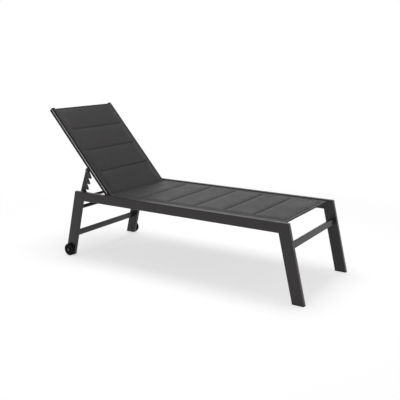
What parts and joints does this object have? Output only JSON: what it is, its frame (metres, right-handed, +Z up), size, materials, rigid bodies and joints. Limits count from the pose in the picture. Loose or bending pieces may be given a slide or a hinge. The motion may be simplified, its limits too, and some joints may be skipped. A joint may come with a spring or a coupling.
{
  "type": "sun lounger",
  "caption": "Reclining sun lounger: coated aluminium frame on splayed legs and wheels, padded sling seat, and a raised back held by a toothed prop.",
  "frame": {"origin": "on the floor, under the middle of the lounger's box with the back raised as stored", "axes": "+X towards the foot end, +Y towards the sitter's left, +Z up"},
  "size_m": [1.798, 0.6952, 0.9412],
  "materials": {
    "coated_aluminium": "anthracite powder coat, satin",
    "black_aluminium": "black powder coat, satin",
    "padded_fabric": "woven mesh over foam, matte",
    "black_plastic": "moulded, matte",
    "beading_plastic": "extruded, matte",
    "tyre_rubber": "matte",
    "dark_steel": "blackened, satin"
  },
  "bodies": {
    "frame": {"side_rail_left": "coated_aluminium", "side_rail_right": "coated_aluminium", "front_leg_left": "coated_aluminium", "front_leg_right": "coated_aluminium", "rear_leg_left": "coated_aluminium", "rear_leg_right": "coated_aluminium", "front_foot_left": "black_plastic", "front_foot_right": "black_plastic", "rear_foot_left": "black_plastic", "rear_foot_right": "black_plastic", "front_stretcher": "coated_aluminium", "rear_stretcher": "coated_aluminium", "seat_brace_front": "coated_aluminium", "seat_brace_rear": "coated_aluminium", "catch_bar": "black_aluminium", "seat_beading_left": "beading_plastic", "seat_beading_right": "beading_plastic", "seat_fabric": "padded_fabric", "back_pivot_left": "dark_steel", "back_pivot_right": "dark_steel", "back_spacer_left": "black_plastic", "back_spacer_right": "black_plastic", "wheel_axle_left": "dark_steel", "wheel_axle_right": "dark_steel", "wheel_washer_left": "black_plastic", "wheel_washer_right": "black_plastic"},
    "back": {"back_tube_left": "black_aluminium", "back_tube_right": "black_aluminium", "back_top_cap_left": "black_plastic", "back_top_cap_right": "black_plastic", "back_lower_cap_left": "black_plastic", "back_lower_cap_right": "black_plastic", "back_cross_tube_lower": "coated_aluminium", "back_cross_tube_upper": "coated_aluminium", "back_beading_left": "beading_plastic", "back_beading_right": "beading_plastic", "back_fabric": "padded_fabric", "prop_lug_left": "coated_aluminium", "prop_lug_right": "coated_aluminium", "prop_rivet_left": "dark_steel", "prop_rivet_right": "dark_steel"},
    "prop": {"prop_arm_left": "coated_aluminium", "prop_arm_right": "coated_aluminium", "prop_bar": "black_aluminium"},
    "wheel_left": {"wheel_hub_left": "black_plastic", "wheel_tyre_left": "tyre_rubber"},
    "wheel_right": {"wheel_hub_right": "black_plastic", "wheel_tyre_right": "tyre_rubber"}
  },
  "joints": [
    {"name": "back_recline", "type": "hinge", "parent": "frame", "child": "back", "pos_m": [-0.44051, 0, 0.423], "axis": [0, 1, 0], "range_deg": [-48.65, 11.9]},
    {"name": "prop_swing", "type": "hinge", "parent": "back", "child": "prop", "pos_m": [-0.60484, 0, 0.56279], "axis": [0, 1, 0], "range_deg": [-8, 28.5]},
    {"name": "wheel_left_spin", "type": "hinge", "parent": "frame", "child": "wheel_left", "pos_m": [-0.73355, 0.3353, 0.0395], "axis": [0, 1, 0], "continuous": true},
    {"name": "wheel_right_spin", "type": "hinge", "parent": "frame", "child": "wheel_right", "pos_m": [-0.73355, -0.3353, 0.0395], "axis": [0, 1, 0], "continuous": true}
  ],
  "couplings": [
    {"joint": "prop_swing", "follows": "back_recline", "ratio": -0.56}
  ]
}
